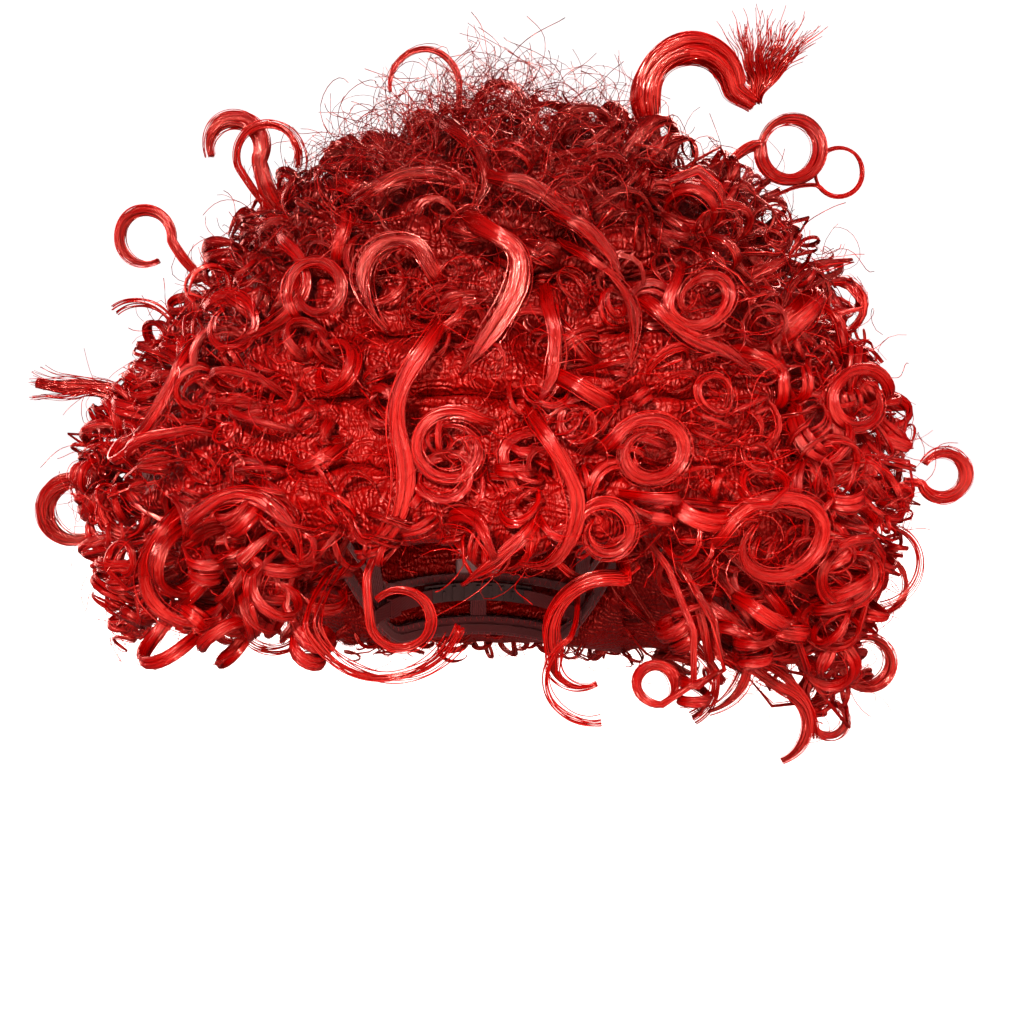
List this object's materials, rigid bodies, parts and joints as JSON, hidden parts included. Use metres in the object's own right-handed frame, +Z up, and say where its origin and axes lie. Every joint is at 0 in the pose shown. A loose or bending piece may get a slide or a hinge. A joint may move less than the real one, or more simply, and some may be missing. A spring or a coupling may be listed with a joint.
{
  "type": "costume wig",
  "caption": "Short curly costume wig: rings of glossy synthetic ringlets sewn on a stretch cap with ear tabs, nape adjusters and loose curls over the face.",
  "frame": {"origin": "middle of the head opening at brow level, where the head holds the wig", "axes": "+Z up through the crown, -Y towards the face, +X towards the wearer's left"},
  "size_m": [0.3776, 0.276, 0.2905],
  "materials": {
    "hair": "glossy synthetic filament",
    "net": "knitted stretch net",
    "band": "woven band",
    "elastic": "ribbed elastic",
    "weft": "machine-stitched weft",
    "tape": "woven tape",
    "hook": "moulded clear-white plastic",
    "label": "satin label, blank"
  },
  "bodies": {
    "wig": {"crown_net": "net", "crown_closure": "net", "front_band": "band", "nape_band": "elastic", "nape_elastic": "elastic", "left_ear_band": "band", "right_ear_band": "band", "front_left_ribbon": "elastic", "front_right_ribbon": "elastic", "left_ribbon": "elastic", "right_ribbon": "elastic", "back_left_ribbon": "elastic", "back_right_ribbon": "elastic", "back_ribbon": "elastic", "weft_track_01": "weft", "weft_track_02": "weft", "weft_track_03": "weft", "weft_track_04": "weft", "weft_track_05": "weft", "weft_track_06": "weft", "weft_track_07": "weft", "weft_track_08": "weft", "weft_track_09": "weft", "fringe": "hair", "hair_row_01": "hair", "hair_row_02": "hair", "hair_row_03": "hair", "hair_row_04": "hair", "hair_row_05": "hair", "hair_row_06": "hair", "hair_row_07": "hair", "hair_row_08": "hair", "hair_row_09": "hair", "crown_ring_curls": "hair", "hook_curl": "hair", "brush_lock": "hair", "low_ring_curls": "hair", "hanging_lock": "hair", "loop_tape": "tape", "left_keeper": "elastic", "right_keeper": "elastic"},
    "left_ear_tab": {"left_ear_tab": "band"},
    "right_ear_tab": {"right_ear_tab": "band"},
    "left_adjuster": {"left_strap": "elastic", "left_hook": "hook"},
    "right_adjuster": {"right_strap": "elastic", "right_hook": "hook"},
    "care_label": {"care_label": "label"},
    "right_face_ringlet": {"right_face_ringlet": "hair"},
    "left_face_ringlet": {"left_face_ringlet": "hair"},
    "top_curl": {"top_curl": "hair", "top_curl_brush": "hair"},
    "side_curl": {"side_curl": "hair"}
  },
  "joints": [
    {"name": "left_ear_tab_fold", "type": "hinge", "parent": "wig", "child": "left_ear_tab", "pos_m": [0.0725, -0.016, 0.0043], "axis": [0.1407, 0.9901, 0], "range_deg": [0, 60], "stiffness_Nm_per_rad": 0.00002},
    {"name": "right_ear_tab_fold", "type": "hinge", "parent": "wig", "child": "right_ear_tab", "pos_m": [-0.0725, -0.016, 0.0043], "axis": [0.1407, -0.9901, 0], "range_deg": [0, 60], "stiffness_Nm_per_rad": 0.00002},
    {"name": "left_adjuster_slide", "type": "hinge", "parent": "wig", "child": "left_adjuster", "pos_m": [0, 0.02866, -0.0575], "axis": [0, 0, 1], "range_deg": [0, 15]},
    {"name": "right_adjuster_slide", "type": "hinge", "parent": "wig", "child": "right_adjuster", "pos_m": [0, 0.02866, -0.0575], "axis": [0, 0, -1], "range_deg": [0, 15]},
    {"name": "care_label_flip", "type": "hinge", "parent": "wig", "child": "care_label", "pos_m": [0, 0.0886, -0.0237], "axis": [-1, 0, 0], "range_deg": [0, 110]},
    {"name": "right_face_ringlet_swing", "type": "hinge", "parent": "wig", "child": "right_face_ringlet", "pos_m": [-0.029, -0.101, 0.021], "axis": [0, 1, 0], "range_deg": [-20, 20], "stiffness_Nm_per_rad": 0.00005},
    {"name": "left_face_ringlet_swing", "type": "hinge", "parent": "wig", "child": "left_face_ringlet", "pos_m": [0.045, -0.098, 0.02], "axis": [0, 1, 0], "range_deg": [-20, 20], "stiffness_Nm_per_rad": 0.0001},
    {"name": "top_curl_sway", "type": "hinge", "parent": "wig", "child": "top_curl", "pos_m": [0.0615, -0.006, 0.16], "axis": [1, 0, 0], "range_deg": [-20, 20], "stiffness_Nm_per_rad": 0.002},
    {"name": "side_curl_bob", "type": "hinge", "parent": "wig", "child": "side_curl", "pos_m": [0.177, -0.004, 0.02], "axis": [0, 1, 0], "range_deg": [-15, 15], "stiffness_Nm_per_rad": 0.0002}
  ]
}
